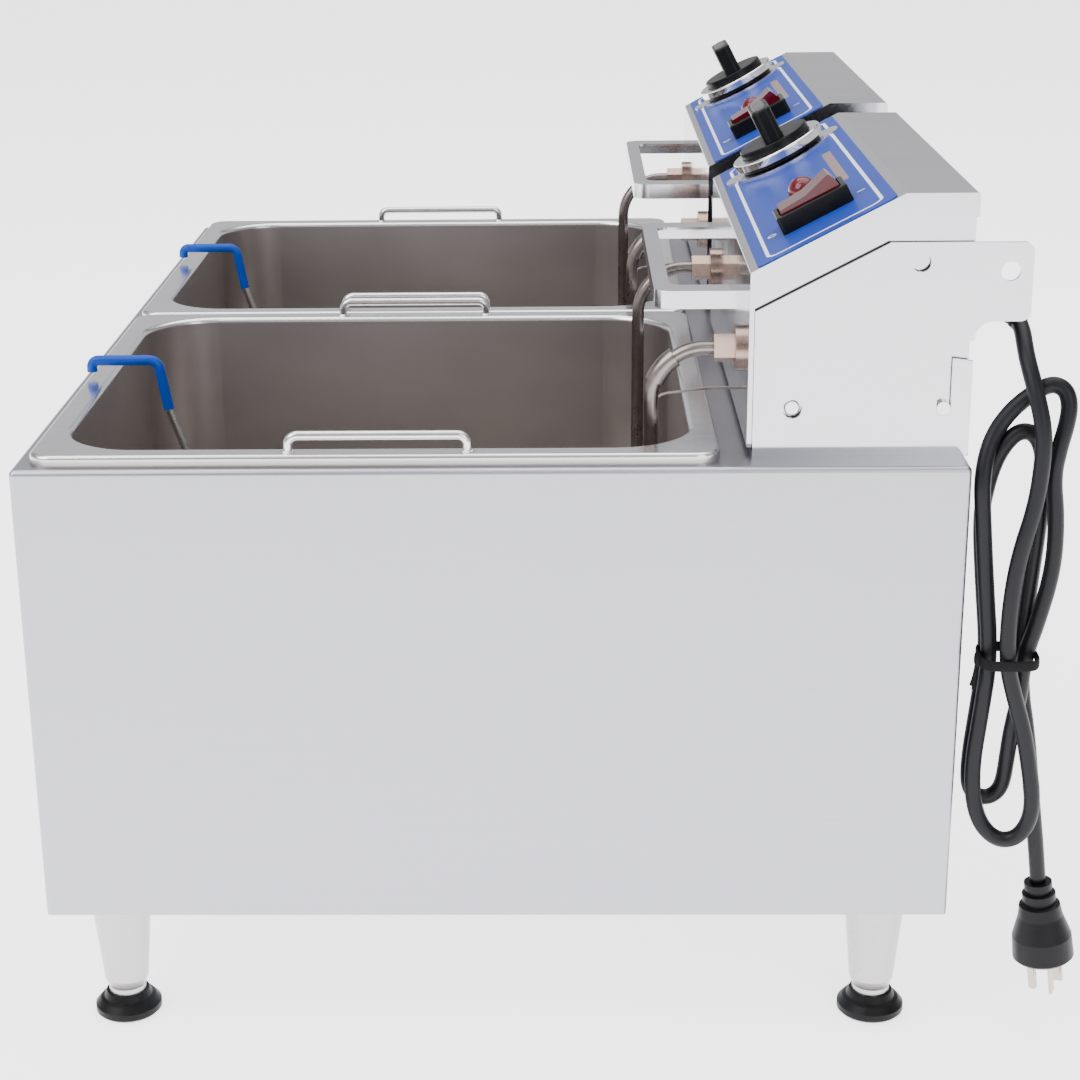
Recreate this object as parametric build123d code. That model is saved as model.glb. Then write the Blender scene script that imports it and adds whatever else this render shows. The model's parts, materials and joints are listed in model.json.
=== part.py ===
from build123d import *
import os
from math import atan2, cos, degrees, hypot, radians, sin, sqrt, tan

# Countertop electric deep fryer: two lift-out pots in one casing, and two heater heads that
# tilt up out of them. Millimetres. +Z is up, the front faces -Y, and the cord is at +X.
# The origin is on the surface under the feet, at the middle of the fryer without its cord.

# ---------------------------------------------------------------- casing, legs and feet
BODY_W = 664.0            # casing, side to side
BODY_D = 488.0            # casing, front to back
BODY_H = 252.0            # casing, underside to deck
FOOT_H = 77.0             # surface to casing
SHEET = 1.5               # casing and head sheet
FOLD_R = 3.0              # outside radius of the casing's folds
VENT_ROWS = 2
VENT_COUNT = 9
VENT_W = 6.0
VENT_L = 60.0
VENT_PITCH = 24.0
VENT_SPREAD = 180.0       # between the rows of vents
LEG_INSET = 34.0          # leg's middle to the casing's sides
LEG_TOP_R = 17.3
LEG_LOW_R = 12.3
LEG_NECK_R = 10.4
LEG_TAPER_Z = 22.0        # height where the taper ends
LEG_NECK_Z = 16.5
PAD_H = 13.0              # rubber pad
PAD_R = 18.5
STUD_R = 4.0
STUD_L = 34.0
STUD_FIT = 0.1

# ---------------------------------------------------------------- pots
POT_W = 325.0             # two-thirds gastronorm pan, side to side
POT_L = 354.0             # and front to back
POT_DEPTH = 150.0         # rim to floor, inside
POT_WALL = 1.2
POT_GAP = 2.0             # between the two flanges
POT_RIM_H = 6.0           # flange's top over the deck
POT_RIM_T = 2.4           # rolled edge
POT_FLANGE = 14.0         # edge to opening
POT_CORNER_R = 40.0       # opening's corners
POT_EDGE_R = 12.0         # flange's corners
POT_FLOOR_R = 18.0        # inside bend at the floor
POT_BEND_R = 2.0          # inside bend from flange to wall
POT_FRONT_GAP = 8.0       # casing's front to the flange
DECK_HOLE_GAP = 3.5       # pot's wall to the deck's cut-out
BAIL_L = 91.7             # pot handle, foot to foot
BAIL_R = 2.4
BAIL_RISE = 8.5           # its bar's middle over the flange
BAIL_BEND_R = 5.0
BAIL_INSET = 7.0          # to the flange's edge
BAIL_BACK = 2.3           # its middle behind the pot's middle

# ---------------------------------------------------------------- control heads
HEAD_W = 287.0            # side to side
HEAD_D = 111.0            # front to back
HEAD_H = 134.0            # top over the deck
HEAD_FRONT_H = 94.5       # top of its front face over the deck
HEAD_TOP_D = 35.0         # flat top, front to back
HEAD_LIFT = 4.0           # underside over the deck
HEAD_CUT = 8.0            # cut-off lower rear corner
HEAD_INSET = 1.0          # rear face to the casing's rear
HEAD_LIP = 12.0           # cover's turn-down at the rear
HEAD_X = 165.0            # head's middle to the fryer's middle
LABEL_W = 283.0
LABEL_L = 77.0
LABEL_T = 0.5
LABEL_CORNER_R = 4.0
KNOB_X = -95.0            # from the head's middle
KNOB_PLATE_R = 30.0
KNOB_PLATE_L = 73.0       # with its two ears
KNOB_PLATE_EAR = 18.0
KNOB_PLATE_T = 1.2
KNOB_GAP = 0.8            # plate to knob
KNOB_SKIRT_R = 25.0
KNOB_SKIRT_T = 2.5
KNOB_HUB_R = 21.5
KNOB_HUB_H = 12.0         # hub's top over the skirt's underside
KNOB_BAR_L = 38.0
KNOB_BAR_W = 12.0
KNOB_H = 32.0             # grip's top over the skirt's underside
DIAL_R = 28.0             # ring round the knob
DIAL_T = 5.0
STEM_R = 3.0
STEM_L = 14.0             # into the thermostat
STEM_FIT = 0.05
BUSH_R = 4.5
THERMOSTAT_W = 38.0
THERMOSTAT_H = 22.0
SWITCH_X = 90.5
SWITCH_W = 27.0
SWITCH_L = 40.0
SWITCH_H = 10.0
SWITCH_DEPTH = 18.0       # part below the panel
ROCKER_W = 19.0
ROCKER_R = 16.8           # end of the rocker from its axle
ROCKER_UP = 8.0           # axle over the panel
ROCKER_TILT = 11.0        # resting tilt, rear end up
ROCKER_GAP = 0.5
ROCKER_TOP = 7.5          # top's ends over the axle
ROCKER_DIP = 5.5          # and its middle
ROCKER_KEEL = 6.0         # underside below the axle
AXLE_R = 1.5
AXLE_FIT = 0.1
PILOT_X = 20.0
PILOT_R = 8.0
PILOT_H = 8.0
PILOT_DEPTH = 16.0
TERMINAL_L = 62.0
TERMINAL_W = 20.0
TERMINAL_H = 14.0
TERMINAL_COUNT = 5
TERMINAL_SCREW_R = 2.6
GLAND_X = 112.0
GLAND_UP = 70.0           # over the deck
GLAND_R = 8.5
GLAND_L = 10.0
GLAND_NECK_R = 6.2

# ---------------------------------------------------------------- hinge and lock
PLATE_T = 2.0             # side plates that carry the head
PLATE_GAP = 1.5           # head to plate
PLATE_INSET = 2.6         # plate's front edge behind the head's front
PLATE_FRONT_H = 75.6      # front edge's height over the deck
PLATE_H = 110.0
PLATE_FOOT = 16.0         # foot turned in on the deck
PLATE_REACH = 0.7         # plate's rear edge past the casing's rear
TAB_REACH = 28.0          # tab past the casing's rear
TAB_LOW = 70.0            # its underside over the deck
TAB_R = 5.0
TAB_ROOT_R = 9.0
PIVOT_BACK = 13.0         # pivot to the casing's rear
PIVOT_UP = 25.0           # and over the deck
PIVOT_R = 3.5
PIVOT_FIT = 0.1
PIVOT_NUT_R = 6.5
PIVOT_NUT_T = 5.0
SLOT_RISE = 30.0          # upright part of the J slot
SLOT_MOUTH = 12.0
LOCK_R = 76.5             # plunger's holes, from the pivot
LOCK_HOLE_R = 4.9
LOCK_PIN_R = 4.0
LOCK_PIN_FIT = 0.1
LOCK_PROUD = 1.2          # its tip, out of the head's side
LOCK_COLLAR_R = 7.0
LOCK_COLLAR_T = 2.0
LOCK_TAIL = 14.0
TILTS = (0.0, 79.0, 113.0)   # frying, draining and pot removal, in degrees
SCREW_R = 3.0
SCREW_H = 1.2
SCREW_PLACES = (0.18, 0.62)  # along a plate's foot, front to back

# ---------------------------------------------------------------- heater
TUBE_R = 3.75
RISER_SPREAD = 205.0      # between the two risers
RISER_UP = 46.5           # over the deck where they leave the head
RISER_OUT = 47.5          # upright part to the head's front
RISER_BEND_R = 28.0
RISER_FOOT_R = 16.0
RISER_TAIL = 20.0         # inside the head
ELEMENT_RUNS = 6
ELEMENT_UP = 14.0         # tube's middle over the pot's floor
ELEMENT_FRONT = 71.0      # front bends to the pot's front wall
ELEMENT_BACK = 64.0       # rear bends to the pot's rear wall
NUT_FLATS = 13.0
NUT_L = 11.0
RING_R = 12.0
RING_T = 4.0
CLIP_T = 1.5
CLIP_START = 34.0         # along the riser's bend, in degrees
CLIP_ARC = 34.0
BULB_R = 3.0
BULB_L = 70.0
BULB_SIDE = 9.0           # bulb's middle beside the riser
BULB_TOP = 12.0           # bulb's top below the deck
WIRE_R = 0.8
WIRE_UP = 20.0            # where the wire enters the head, over the deck
WIRE_BEND_R = 10.0
ROD_R = 2.3               # lifting rod
GRIP_R = 3.0
GRIP_HOOK = 27.0          # grip's top past the pot's front wall
GRIP_RISE = 10.0          # over the flange
GRIP_GAP = 0.6            # grip's tip over the flange
GRIP_TIP_IN = 3.0         # tip to the flange's front edge
GRIP_DROP = 19.0          # grip's end below the flange
GRIP_LEAN = 5.0
GRIP_BENDS = (4.0, 6.0)   # at the tip and at the pot's side
ROD_BEND_R = 15.0

# ---------------------------------------------------------------- hanger
HANGER_W = 194.0
HANGER_D = 46.0
HANGER_UP = 75.5
HANGER_RIM = 9.5
HANGER_ARM = 16.0
HANGER_BAR = 8.7
HANGER_R = 10.0

# ---------------------------------------------------------------- cord and plug
CORD_R = 4.3
HANK_X = 313.0
HANK_T = 26.0
TIE_T = 1.5
TIE_H = 6.0
PLUG_L = 46.0
PLUG_LEAN = 7.4           # plug's tilt, in degrees
PLUG_TURN = 25.0          # and its turn about its own axis
BLADE_SPREAD = 12.7
BLADE_L = 18.0
BLADE_W = 6.3
BLADE_T = 1.5
BLADE_OUT = 5.0
EARTH_R = 2.4
EARTH_L = 21.0
EARTH_OUT = 7.0

# Points of the free cord, where it isn't in its hank: out of the gland, and down to the plug.
LEAD_POINTS = (
    (277.0, 239.0, 399.0),
    (277.0, 246.0, 399.0),
    (280.5, 252.5, 397.5),
    (287.5, 256.5, 394.5),
    (296.5, 257.5, 391.0),
    (306.0, 257.0, 386.5),
    (315.0, 257.0, 380.5),
    (323.0, 258.5, 372.5),
    (329.0, 261.0, 362.0),
    (333.0, 263.5, 350.0),
)
TAIL_POINTS = (
    (325.0, 271.0, 152.0),
    (324.0, 274.5, 132.0),
    (323.0, 277.5, 112.0),
    (322.0, 280.0, 92.0),
)
# Outline of the tied hank, seen from the side, in Y and Z.
HANK_OUTLINE = (
    (237.0, 337.0),
    (246.0, 366.0),
    (262.0, 384.0),
    (276.0, 381.0),
    (278.0, 352.0),
    (281.0, 290.0),
    (276.0, 246.0),
    (269.0, 229.0),
    (269.0, 220.0),
    (277.0, 180.0),
    (278.0, 140.0),
    (272.0, 118.0),
    (262.0, 116.0),
    (243.0, 138.0),
    (236.0, 165.0),
    (241.0, 220.0),
    (241.0, 229.0),
    (235.0, 270.0),
    (234.5, 312.0),
)
TIE_PLACE = (241.0, 269.0, 224.5)            # its near and far Y, and its middle height

# ---------------------------------------------------------------- places worked out from these
DECK_Z = FOOT_H + BODY_H
BODY_Y = -TAB_REACH / 2
FRONT_Y = BODY_Y - BODY_D / 2
REAR_Y = BODY_Y + BODY_D / 2
POT_X = (POT_W + POT_GAP) / 2
POT_FRONT = FRONT_Y + POT_FRONT_GAP
POT_Y = POT_FRONT + POT_L / 2
POT_TOP = DECK_Z + POT_RIM_H
WELL_W = POT_W - 2 * POT_FLANGE
WELL_L = POT_L - 2 * POT_FLANGE
WELL_FRONT = POT_Y - WELL_L / 2
WELL_BACK = POT_Y + WELL_L / 2
HEAD_REAR = REAR_Y - HEAD_INSET
HEAD_FRONT = HEAD_REAR - HEAD_D
HEAD_BREAK = HEAD_REAR - HEAD_TOP_D          # where the slope meets the flat top
HEAD_TOP = DECK_Z + HEAD_H
HEAD_LOW = DECK_Z + HEAD_LIFT
SLOPE_LOW = DECK_Z + HEAD_FRONT_H
SLOPE = atan2(HEAD_TOP - SLOPE_LOW, HEAD_BREAK - HEAD_FRONT)
SLOPE_L = hypot(HEAD_TOP - SLOPE_LOW, HEAD_BREAK - HEAD_FRONT)
PIVOT_Y = REAR_Y - PIVOT_BACK
PIVOT_Z = DECK_Z + PIVOT_UP
PLATE_FRONT = HEAD_FRONT + PLATE_INSET
PLATE_REAR = REAR_Y + PLATE_REACH
PLATE_X = HEAD_W / 2 + PLATE_GAP             # plate's inner face from the head's middle
RISER_X = RISER_SPREAD / 2
RISER_Y = HEAD_FRONT - RISER_OUT
RISER_Z = DECK_Z + RISER_UP
WIRE_X = RISER_X - 2 * BULB_SIDE             # sensor's wire from the head's middle
ELEMENT_Z = POT_TOP - POT_DEPTH + ELEMENT_UP
ELEMENT_Y1 = WELL_FRONT + ELEMENT_FRONT
ELEMENT_Y2 = WELL_BACK - ELEMENT_BACK
FLAT = 0.1                                   # straight left between two half turns
CUT = 5.0                                    # how far a cutting tool runs past a face

HEADS = (("right", HEAD_X), ("left", -HEAD_X))
POTS = (("right", POT_X), ("left", -POT_X))
CORNERS = (("front_right", 1, -1), ("front_left", -1, -1), ("rear_right", 1, 1), ("rear_left", -1, 1))


# ---------------------------------------------------------------- helpers
def save(name, shape):
    """Writes one sub-part."""
    shape.label = name
    export_step(shape, f"parts/{name}.step")


def outline(points):
    """Closed face in Y and Z, at X = 0."""
    return Plane.YZ * make_face(Polyline(*points, close=True))


def slab(points, x_low, x_high):
    """Outline in Y and Z made solid from x_low to x_high."""
    return Pos(x_low, 0, 0) * extrude(outline(points), x_high - x_low, dir=(1, 0, 0))


def inset(points, gap):
    """Open line of points moved sideways to its right by gap, with mitred corners."""
    turns = [atan2(b[1] - a[1], b[0] - a[0]) for a, b in zip(points, points[1:])]
    moved = []
    for i, (y, z) in enumerate(points):
        before = turns[max(i - 1, 0)]
        after = turns[min(i, len(turns) - 1)]
        middle = (before + after) / 2
        reach = gap / cos((after - before) / 2)
        moved.append((y + reach * sin(middle), z - reach * cos(middle)))
    return moved


def rod(points, radius, bends):
    """Round bar along straight runs joined by arcs."""
    path = FilletPolyline(*points, radius=bends)
    return sweep(Plane(origin=path @ 0, z_dir=path % 0) * Circle(radius), path=path)


def cross_pin(radius, x_low, x_high, y, z):
    """Cylinder along X."""
    return Plane(origin=(x_low, y, z), z_dir=(1, 0, 0)) * extrude(Circle(radius), x_high - x_low)


def turned(points):
    """Solid of revolution about Z from a closed half-section of radius and height."""
    return revolve(Plane.XZ * make_face(Polyline(*points, close=True)), axis=Axis.Z)


def round_along_x(shape, places, radius):
    """Rounds the edges along X that pass through the given Y and Z."""
    chosen = []
    for edge in shape.edges().filter_by(Axis.X):
        middle = edge @ 0.5
        if any(hypot(middle.Y - y, middle.Z - z) < FLAT for y, z in places):
            chosen.append(edge)
    return fillet(chosen, radius)


def panel(x, lift=0.0):
    """Frame at the middle of a head's sloping panel: Y runs up the slope, and Z stands out."""
    y = (HEAD_FRONT + HEAD_BREAK) / 2 - lift * sin(SLOPE)
    z = (SLOPE_LOW + HEAD_TOP) / 2 + lift * cos(SLOPE)
    return Plane(origin=(x, y, z), x_dir=(1, 0, 0), z_dir=(0, -sin(SLOPE), cos(SLOPE)))


def panel_bore(x, radius):
    """Tool for a round hole through the panel."""
    return panel(x, lift=-CUT) * extrude(Circle(radius), 2 * CUT)


def switch_cut(x):
    """Tool for the switch's hole through the panel."""
    size = Rectangle(SWITCH_W - 2 * SHEET, SWITCH_L - 2 * SHEET)
    return panel(x + SWITCH_X, lift=-CUT) * extrude(size, 2 * CUT)


# ---------------------------------------------------------------- casing
def body_shell():
    """Deck and four walls in one folded sheet, open below, with a cut-out for each pot."""
    outer = Pos(0, BODY_Y, FOOT_H) * extrude(Rectangle(BODY_W, BODY_D), BODY_H)
    outer = fillet(outer.edges().filter_by(Axis.Z), FOLD_R)
    outer = fillet(outer.faces().sort_by(Axis.Z)[-1].edges(), FOLD_R)
    inner = extrude(RectangleRounded(BODY_W - 2 * SHEET, BODY_D - 2 * SHEET, FOLD_R - SHEET), BODY_H - SHEET)
    shell = outer - Pos(0, BODY_Y, FOOT_H) * inner
    spread = 2 * (POT_WALL + DECK_HOLE_GAP)
    hole = extrude(RectangleRounded(WELL_W + spread, WELL_L + spread, POT_CORNER_R + spread / 2), 2 * CUT)
    for _, x in POTS:
        shell -= Pos(x, POT_Y, DECK_Z - CUT) * hole
    return shell


def base_plate():
    """Bottom cover between the walls, with two rows of cooling slots."""
    plate = extrude(RectangleRounded(BODY_W - 2 * SHEET, BODY_D - 2 * SHEET, FOLD_R - SHEET), SHEET)
    vent = extrude(SlotOverall(VENT_L, VENT_W, rotation=90), SHEET)
    for row in range(VENT_ROWS):
        for column in range(VENT_COUNT):
            x = (column - (VENT_COUNT - 1) / 2) * VENT_PITCH
            y = (row - (VENT_ROWS - 1) / 2) * VENT_SPREAD
            plate -= Pos(x, y, 0) * vent
    return Pos(0, BODY_Y, FOOT_H) * plate


def leg_place(side_x, side_y):
    """Position of a leg on the surface."""
    return Pos(side_x * (BODY_W / 2 - LEG_INSET), BODY_Y + side_y * (BODY_D / 2 - LEG_INSET), 0)


def leg():
    """Tapered leg with a waist above its foot and a bore for the foot's stud."""
    bore = STUD_R + STUD_FIT
    depth = PAD_H + STUD_L + STUD_R / 2
    return turned(
        (
            (bore, PAD_H),
            (LEG_NECK_R, PAD_H),
            (LEG_NECK_R, LEG_NECK_Z),
            (LEG_LOW_R, LEG_TAPER_Z),
            (LEG_TOP_R, FOOT_H),
            (0, FOOT_H),
            (0, depth),
            (bore, depth),
        )
    )


def foot():
    """Stepped rubber pad on a threaded stud."""
    return turned(
        (
            (0, 0),
            (PAD_R - 1.5, 0),
            (PAD_R, 1.5),
            (PAD_R, PAD_H - 8.0),
            (PAD_R - 3.0, PAD_H - 4.5),
            (PAD_R - 5.0, PAD_H - 3.5),
            (PAD_R - 6.5, PAD_H),
            (STUD_R, PAD_H),
            (STUD_R, PAD_H + STUD_L),
            (0, PAD_H + STUD_L),
        )
    )


# ---------------------------------------------------------------- pots and their handles
def on_opening(point):
    """Whether a point of a pan lies on the edge between its flange and its well."""
    level = abs(point.Z) < FLAT
    return level and abs(point.X) < WELL_W / 2 + FLAT and abs(point.Y) < WELL_L / 2 + FLAT


def pot(x):
    """Drawn pan: flange with a turned-down edge, straight walls and a rounded floor."""
    flange = extrude(RectangleRounded(POT_W, POT_L, POT_EDGE_R), -POT_RIM_H)
    flange = fillet(flange.faces().sort_by(Axis.Z)[-1].edges(), POT_RIM_T * 0.9)
    under_w = POT_W - 2 * POT_RIM_T
    under_l = POT_L - 2 * POT_RIM_T
    under = extrude(RectangleRounded(under_w, under_l, POT_EDGE_R - POT_RIM_T), -POT_RIM_H)
    flange -= Pos(0, 0, -POT_WALL) * under
    outer_w = WELL_W + 2 * POT_WALL
    outer_l = WELL_L + 2 * POT_WALL
    well = extrude(RectangleRounded(outer_w, outer_l, POT_CORNER_R + POT_WALL), -POT_DEPTH - POT_WALL)
    well = fillet(well.faces().sort_by(Axis.Z)[0].edges(), POT_FLOOR_R + POT_WALL)
    wide = 2 * POT_BEND_R
    throat_r = POT_CORNER_R + POT_WALL + POT_BEND_R
    throat = extrude(RectangleRounded(outer_w + wide, outer_l + wide, throat_r), -POT_WALL - POT_BEND_R)
    space = extrude(RectangleRounded(WELL_W, WELL_L, POT_CORNER_R), -POT_DEPTH)
    space = fillet(space.faces().sort_by(Axis.Z)[0].edges(), POT_FLOOR_R)
    pan = flange + well + throat - space
    pan = fillet([e for e in pan.edges() if on_opening(e @ 0.5)], POT_WALL + POT_BEND_R * 0.9)
    return Pos(x, POT_Y, POT_TOP) * pan


def pot_handles(x):
    """Two low wire bails, welded on the long sides of the flange."""
    front = POT_Y + BAIL_BACK - BAIL_L / 2
    top = POT_TOP + BAIL_RISE
    bars = []
    for side in (-1, 1):
        bar_x = x + side * (POT_W / 2 - BAIL_INSET)
        points = (
            (bar_x, front, POT_TOP),
            (bar_x, front, top),
            (bar_x, front + BAIL_L, top),
            (bar_x, front + BAIL_L, POT_TOP),
        )
        bars.append(rod(points, BAIL_R, BAIL_BEND_R))
    return Compound(bars)


# ---------------------------------------------------------------- side plates
def slot_cut(x_low, x_high):
    """Tool for the J slot: down from the rear edge to the pivot, so that the head lifts off."""
    half = PIVOT_R + PIVOT_FIT
    top = PIVOT_Z + SLOT_RISE
    rear = PLATE_REAR + CUT
    upright = (
        (PIVOT_Y - half, PIVOT_Z),
        (PIVOT_Y + half, PIVOT_Z),
        (PIVOT_Y + half, top),
        (PIVOT_Y - half, top),
    )
    mouth = (
        (PIVOT_Y, top - half),
        (rear, top - SLOT_MOUTH / 2),
        (rear, top + SLOT_MOUTH / 2),
        (PIVOT_Y, top + half),
    )
    tool = slab(upright, x_low, x_high) + slab(mouth, x_low, x_high)
    for z in (PIVOT_Z, top):
        tool += cross_pin(half, x_low, x_high, PIVOT_Y, z)
    return tool


def side_plate(x, side):
    """Plate beside a head, with its foot turned in under the head, its holes and its slot."""
    inner = x + side * PLATE_X
    outer = inner + side * PLATE_T
    low, high = min(inner, outer), max(inner, outer)
    slope_end = PLATE_FRONT + (PLATE_H - PLATE_FRONT_H) / tan(SLOPE)
    tab_end = REAR_Y + TAB_REACH
    points = (
        (PLATE_FRONT, DECK_Z),
        (PLATE_FRONT, DECK_Z + PLATE_FRONT_H),
        (slope_end, DECK_Z + PLATE_H),
        (tab_end, DECK_Z + PLATE_H),
        (tab_end, DECK_Z + TAB_LOW),
        (PLATE_REAR, DECK_Z + TAB_LOW),
        (PLATE_REAR, DECK_Z),
    )
    plate = slab(points, low, high)
    plate = round_along_x(plate, points[3:5], TAB_R)
    plate = round_along_x(plate, points[5:6], TAB_ROOT_R)
    foot_x = (outer + inner - side * PLATE_FOOT) / 2
    foot_end = REAR_Y - FOLD_R
    foot_size = Rectangle(PLATE_T + PLATE_FOOT, foot_end - PLATE_FRONT)
    plate += Pos(foot_x, (foot_end + PLATE_FRONT) / 2, DECK_Z) * extrude(foot_size, PLATE_T)
    plate -= slot_cut(low - CUT, high + CUT)
    for tilt in TILTS:
        y = PIVOT_Y - LOCK_R * cos(radians(tilt))
        z = PIVOT_Z + LOCK_R * sin(radians(tilt))
        plate -= cross_pin(LOCK_HOLE_R, low - CUT, high + CUT, y, z)
    return plate


def foot_screws(x):
    """Low screw heads on the feet of a head's two plates."""
    heads = []
    for side in (-1, 1):
        for place in SCREW_PLACES:
            y = PLATE_FRONT + place * (REAR_Y - PLATE_FRONT)
            head = extrude(Circle(SCREW_R), SCREW_H)
            head = fillet(head.faces().sort_by(Axis.Z)[-1].edges(), SCREW_H / 2)
            heads.append(Pos(x + side * (PLATE_X - PLATE_FOOT / 2), y, DECK_Z + PLATE_T) * head)
    return heads


# ---------------------------------------------------------------- head's casing
def cover_line():
    """Outside of the cover: up the front, up the slope, back over the top and down the lip."""
    return (
        (HEAD_FRONT, HEAD_LOW),
        (HEAD_FRONT, SLOPE_LOW),
        (HEAD_BREAK, HEAD_TOP),
        (HEAD_REAR + SHEET, HEAD_TOP),
        (HEAD_REAR + SHEET, HEAD_TOP - HEAD_LIP),
    )


def front_bore(x, up, radius):
    """Tool for a round hole through a head's front face."""
    place = Plane(origin=(x, HEAD_FRONT + CUT, DECK_Z + up), z_dir=(0, -1, 0))
    return place * extrude(Circle(radius), 2 * CUT)


def head_cover(x):
    """Folded strip over the front, the slope and the top of a head."""
    line = cover_line()
    cover = slab(list(line) + inset(line, SHEET)[::-1], x - HEAD_W / 2, x + HEAD_W / 2)
    cover = round_along_x(cover, line[1:4], SHEET)
    cover -= panel_bore(x + KNOB_X, BUSH_R)
    cover -= panel_bore(x + PILOT_X, PILOT_R - SHEET)
    cover -= switch_cut(x)
    for side in (-1, 1):
        cover -= front_bore(x + side * RISER_X, RISER_UP, TUBE_R)
    return cover - front_bore(x + WIRE_X, WIRE_UP, WIRE_R)


def head_chassis(x):
    """Floor, two sides and rear panel of a head, inside its cover."""
    low, high = x - HEAD_W / 2, x + HEAD_W / 2
    inside = inset(cover_line(), SHEET)
    ceiling = inside[2][1]
    section = (
        (inside[0][0], HEAD_LOW),
        inside[1],
        inside[2],
        (HEAD_REAR, ceiling),
        (HEAD_REAR, HEAD_LOW + HEAD_CUT),
        (HEAD_REAR - HEAD_CUT, HEAD_LOW),
    )
    slack = SHEET * tan(radians(22.5))
    space = (
        (HEAD_FRONT, HEAD_LOW + SHEET),
        (HEAD_REAR - HEAD_CUT - slack, HEAD_LOW + SHEET),
        (HEAD_REAR - SHEET, HEAD_LOW + HEAD_CUT + slack),
        (HEAD_REAR - SHEET, HEAD_TOP),
        (HEAD_FRONT, HEAD_TOP),
    )
    chassis = slab(section, low, high) - slab(space, low + SHEET, high - SHEET)
    for edge in (low, high):
        chassis -= cross_pin(PIVOT_R, edge - CUT, edge + CUT, PIVOT_Y, PIVOT_Z)
    bore = LOCK_PIN_R + LOCK_PIN_FIT
    chassis -= cross_pin(bore, high - CUT, high + CUT, PIVOT_Y - LOCK_R, PIVOT_Z)
    hole = Plane(origin=(x + GLAND_X, HEAD_REAR - CUT, DECK_Z + GLAND_UP), z_dir=(0, 1, 0))
    return chassis - hole * extrude(Circle(GLAND_NECK_R), 2 * CUT)


def pivot_pins(x):
    """Pins that the head hangs and turns on, each with its nut inside the head."""
    pins = []
    for side in (-1, 1):
        wall = x + side * (HEAD_W / 2 - SHEET)
        tip = x + side * (PLATE_X + PLATE_T)
        tail = wall - side * PIVOT_NUT_T
        pin = cross_pin(PIVOT_R, min(tip, tail), max(tip, tail), PIVOT_Y, PIVOT_Z)
        nut = Plane(origin=(min(wall, tail), PIVOT_Y, PIVOT_Z), z_dir=(1, 0, 0))
        pins.append(pin + nut * extrude(RegularPolygon(PIVOT_NUT_R, 6), PIVOT_NUT_T))
    return Compound(pins)


def lock_plunger(x):
    """Spring plunger in the head's side: its tip clicks into the side plate's holes."""
    wall = x + HEAD_W / 2 - SHEET
    y = PIVOT_Y - LOCK_R
    shaft = cross_pin(LOCK_PIN_R, wall - LOCK_TAIL, wall + SHEET + LOCK_PROUD, y, PIVOT_Z)
    shaft = fillet(shaft.faces().sort_by(Axis.X)[-1].edges(), LOCK_PROUD * 0.8)
    return shaft + cross_pin(LOCK_COLLAR_R, wall - LOCK_COLLAR_T, wall, y, PIVOT_Z)


def cord_gland(x):
    """Screwed gland through the head's rear panel, tapering towards the cord."""
    section = (
        (0, -SHEET - RING_T),
        (GLAND_R, -SHEET - RING_T),
        (GLAND_R, -SHEET),
        (GLAND_NECK_R, -SHEET),
        (GLAND_NECK_R, 0),
        (GLAND_R, 0),
        (GLAND_R, GLAND_L * 0.45),
        (GLAND_R - 1.0, GLAND_L * 0.5),
        (CORD_R + 1.2, GLAND_L),
        (0, GLAND_L),
    )
    place = Plane(origin=(x + GLAND_X, HEAD_REAR, DECK_Z + GLAND_UP), z_dir=(0, 1, 0))
    return place * turned(section)


# ---------------------------------------------------------------- controls
def control_label(x):
    """Printed foil over the whole sloping panel."""
    label = panel(x) * extrude(RectangleRounded(LABEL_W, LABEL_L, LABEL_CORNER_R), LABEL_T)
    label -= panel_bore(x + KNOB_X, BUSH_R)
    label -= panel_bore(x + PILOT_X, PILOT_R - SHEET)
    return label - switch_cut(x)


def knob_plate(x):
    """Plate under the knob, with an ear up and down the slope."""
    ears = RectangleRounded(KNOB_PLATE_EAR, KNOB_PLATE_L, KNOB_PLATE_EAR * 0.4)
    plate = extrude(Circle(KNOB_PLATE_R) + ears - Circle(BUSH_R), KNOB_PLATE_T)
    return panel(x + KNOB_X, lift=LABEL_T) * plate


def knob_place(x):
    """Frame at the middle of the knob's underside."""
    return panel(x + KNOB_X, lift=LABEL_T + KNOB_PLATE_T + KNOB_GAP)


def knob(x):
    """Bar-grip knob on a skirt, with the stem that it turns the thermostat by."""
    body = extrude(Circle(KNOB_SKIRT_R), KNOB_SKIRT_T) + extrude(Circle(KNOB_HUB_R), KNOB_HUB_H)
    body = fillet(body.faces().sort_by(Axis.Z)[-1].edges(), 1.0)
    bar = extrude(RectangleRounded(KNOB_BAR_L, KNOB_BAR_W, KNOB_BAR_W * 0.35), KNOB_H)
    bar = fillet(bar.faces().sort_by(Axis.Z)[-1].edges(), 1.5)
    stem = Pos(0, 0, -STEM_L) * extrude(Circle(STEM_R), STEM_L)
    return knob_place(x) * (body + bar + stem)


def dial_ring(x):
    """Bright ring on the knob's skirt."""
    ring = extrude(Circle(DIAL_R) - Circle(KNOB_HUB_R), DIAL_T)
    ring = fillet(ring.faces().sort_by(Axis.Z)[-1].edges(), 1.2)
    return knob_place(x) * Pos(0, 0, KNOB_SKIRT_T) * ring


def thermostat(x):
    """Thermostat under the panel, with the bush that the knob's stem turns in."""
    bush_h = SHEET + LABEL_T + KNOB_PLATE_T
    case = extrude(RectangleRounded(THERMOSTAT_W, THERMOSTAT_W, BUSH_R), -THERMOSTAT_H)
    case += extrude(Circle(BUSH_R), bush_h)
    floor = bush_h + KNOB_GAP - STEM_L - STEM_R
    case -= Pos(0, 0, floor) * extrude(Circle(STEM_R + STEM_FIT), bush_h - floor)
    return panel(x + KNOB_X, lift=-SHEET) * case


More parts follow.
